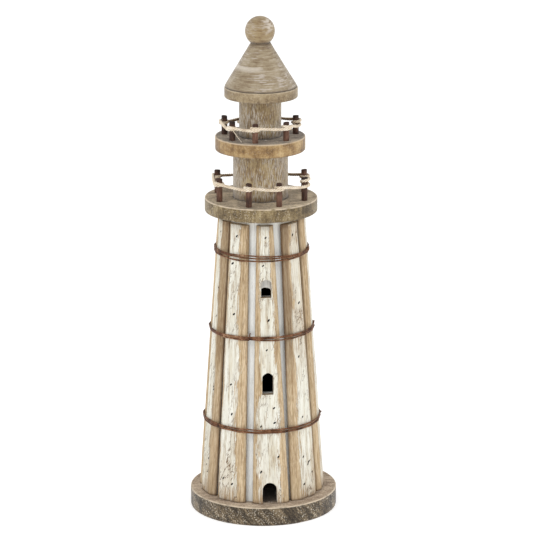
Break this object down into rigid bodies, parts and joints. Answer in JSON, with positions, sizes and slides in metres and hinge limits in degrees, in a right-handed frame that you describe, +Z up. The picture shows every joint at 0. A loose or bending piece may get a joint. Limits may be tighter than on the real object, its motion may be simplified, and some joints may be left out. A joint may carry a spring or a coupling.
{
  "type": "lighthouse ornament",
  "caption": "Free-standing rustic wooden lighthouse: round base, tapered slatted tower bound with wire, two rope-railed galleries, drum, cone roof and ball finial.",
  "frame": {"origin": "centre of the base disc's underside", "axes": "+Z up along the tower; the door and windows face -Y; +X to the right when looking at the door"},
  "size_m": [0.178, 0.178, 0.6031],
  "materials": {
    "base_wood": "weathered grey-brown stain, worn pale edge, saw marks",
    "gallery_wood": "weathered warm brown stain with a pale worn rim",
    "drum_wood": "brown stain with whitewash rubbed into the vertical grain",
    "roof_wood": "greyed brown stain with thin whitewash streaks",
    "stave_wood": "distressed cream paint, sanded to tan wood along the edges, with small worm holes",
    "core_grey": "smooth pale blue-grey paint",
    "post_wood": "dark reddish-brown stain",
    "hidden_wood": "bare softwood",
    "jute": "twisted natural jute twine",
    "rusty_wire": "rusty annealed iron wire",
    "steel": "plain steel"
  },
  "bodies": {
    "root": {"base_disc": "base_wood", "base_screw_1": "steel", "base_screw_2": "steel", "base_screw_3": "steel", "base_screw_4": "steel", "tower_core": "core_grey", "top_plug": "hidden_wood", "front_stave": "stave_wood", "stave_2": "stave_wood", "stave_3": "stave_wood", "stave_4": "stave_wood", "stave_5": "stave_wood", "stave_6": "stave_wood", "stave_7": "stave_wood", "stave_8": "stave_wood", "stave_9": "stave_wood", "stave_10": "stave_wood", "stave_brad_1": "steel", "stave_brad_2": "steel", "stave_brad_3": "steel", "stave_brad_4": "steel", "stave_brad_5": "steel", "stave_brad_6": "steel", "stave_brad_7": "steel", "stave_brad_8": "steel", "stave_brad_9": "steel", "stave_brad_10": "steel", "wire_bottom": "rusty_wire", "wire_middle": "rusty_wire", "wire_top": "rusty_wire", "lower_gallery": "gallery_wood", "lower_post_1": "post_wood", "lower_post_2": "post_wood", "lower_post_3": "post_wood", "lower_post_4": "post_wood", "lower_post_5": "post_wood", "lower_post_6": "post_wood", "lower_post_7": "post_wood", "lower_post_8": "post_wood", "lower_rope": "jute", "watch_drum": "drum_wood", "upper_gallery": "gallery_wood", "upper_post_1": "post_wood", "upper_post_2": "post_wood", "upper_post_3": "post_wood", "upper_post_4": "post_wood", "upper_post_5": "post_wood", "upper_post_6": "post_wood", "upper_post_7": "post_wood", "upper_rope": "jute", "lantern_drum": "drum_wood", "eave_disc": "roof_wood", "roof_cone": "roof_wood", "ball_finial": "roof_wood", "stack_dowel": "hidden_wood", "finial_dowel": "hidden_wood"}
  },
  "joints": []
}
